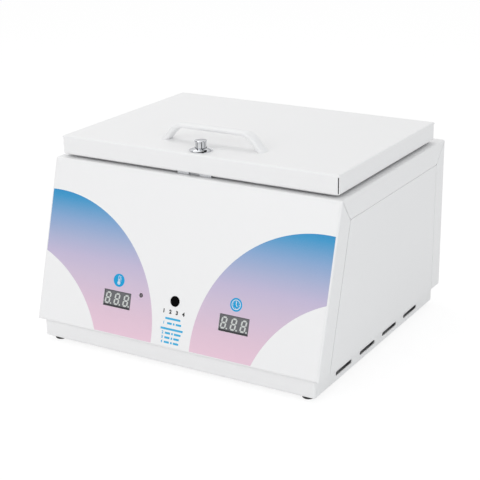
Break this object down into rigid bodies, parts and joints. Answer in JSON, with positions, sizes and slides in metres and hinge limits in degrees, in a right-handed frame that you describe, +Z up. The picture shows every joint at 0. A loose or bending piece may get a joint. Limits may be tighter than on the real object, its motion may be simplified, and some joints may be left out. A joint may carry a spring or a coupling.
{
  "type": "dry heat sterilizer",
  "caption": "Bench dry heat sterilizer: folded-sheet cabinet with a sloped display panel on a slotted base, hinged flat lid with bow handle and push lock, heated steel chamber inside.",
  "frame": {"origin": "on the bench under the middle of the bounding box", "axes": "+X to the object's right-hand side seen from the front panel, +Y to the rear where the hinges and inlet are, +Z up"},
  "size_m": [0.38, 0.3478, 0.2645],
  "materials": {
    "cabinet_paint": "smooth powder coat, light grey-white",
    "lid_paint": "smooth powder coat, light grey-white",
    "white_film": "satin polyester film",
    "field_print": "print graded from blue to pink",
    "icon_print": "light blue print",
    "handle_plastic": "white, satin",
    "display_plastic": "dark grey",
    "segment_plastic": "light grey, unlit",
    "lamp_plastic": "dark, unlit",
    "black_plastic": "black",
    "brown_plastic": "dark brown moulding",
    "board_green": "solder mask",
    "black_rubber": "black",
    "silicone": "translucent grey silicone",
    "stainless": "brushed stainless",
    "galvanised": "galvanised",
    "zinc_steel": "zinc plated",
    "chrome_plate": "polished chrome",
    "heater_sheath": "oxidised sheath",
    "mineral_wool": "pressed mineral wool",
    "copper_coil": "taped coil and laminated core"
  },
  "bodies": {
    "cabinet": {"housing_wrap": "cabinet_paint", "side_panel_left": "cabinet_paint", "side_panel_right": "cabinet_paint", "base_tray": "cabinet_paint", "foot_front_left": "black_rubber", "foot_front_right": "black_rubber", "foot_rear_left": "black_rubber", "foot_rear_right": "black_rubber", "foot_screws": "zinc_steel", "base_spacers": "zinc_steel", "base_nuts": "zinc_steel", "front_film": "white_film", "print_left": "field_print", "print_right": "field_print", "print_icons": "icon_print", "display_left": "display_plastic", "display_right": "display_plastic", "segments_left": "segment_plastic", "segments_right": "segment_plastic", "status_lamp": "lamp_plastic", "button_switch": "black_plastic", "control_board": "board_green", "board_standoffs": "zinc_steel", "board_screws": "zinc_steel", "chamber_tub": "stainless", "instrument_tray": "stainless", "temperature_probe": "stainless", "chamber_insulation": "mineral_wool", "insulation_case": "galvanised", "heater_element": "heater_sheath", "heater_clamps": "galvanised", "thermal_cutout": "black_plastic", "power_board": "board_green", "transformer": "copper_coil", "relay": "black_plastic", "mains_inlet": "black_plastic", "inlet_screws": "zinc_steel", "latch_strike": "zinc_steel", "strike_screws": "zinc_steel", "hinge_leaf_body_left": "zinc_steel", "hinge_leaf_body_right": "zinc_steel", "hinge_pin_left": "zinc_steel", "hinge_pin_right": "zinc_steel", "hinge_screws_body": "zinc_steel"},
    "lid": {"lid_shell": "lid_paint", "lid_liner": "stainless", "lid_gasket": "silicone", "lid_insulation": "mineral_wool", "liner_screws": "zinc_steel", "lid_handle": "handle_plastic", "handle_screws": "zinc_steel", "lock_rosette": "chrome_plate", "lock_case": "brown_plastic", "hinge_leaf_lid_left": "zinc_steel", "hinge_leaf_lid_right": "zinc_steel", "hinge_screws_lid": "zinc_steel"},
    "lock_button": {"lock_button": "chrome_plate"},
    "latch_tongue": {"latch_tongue": "zinc_steel"},
    "program_button": {"program_button": "black_plastic", "switch_plunger": "black_plastic"}
  },
  "joints": [
    {"name": "lid_hinge", "type": "hinge", "parent": "cabinet", "child": "lid", "pos_m": [0, 0.15253, 0.2204], "axis": [-1, 0, 0], "range_deg": [0, 100]},
    {"name": "lock_push", "type": "slide", "parent": "lid", "child": "lock_button", "axis": [0, 0, -1], "range_m": [0, 0.006], "stiffness_N_per_m": 200, "springref_m": -0.01},
    {"name": "tongue_slide", "type": "slide", "parent": "lid", "child": "latch_tongue", "axis": [0, -1, 0], "range_m": [0, 0.006]},
    {"name": "program_press", "type": "slide", "parent": "cabinet", "child": "program_button", "axis": [0, 0.9626, -0.271], "range_m": [0, 0.0012], "stiffness_N_per_m": 400, "springref_m": -0.001}
  ],
  "couplings": [
    {"joint": "tongue_slide", "follows": "lock_push", "ratio": 1}
  ]
}
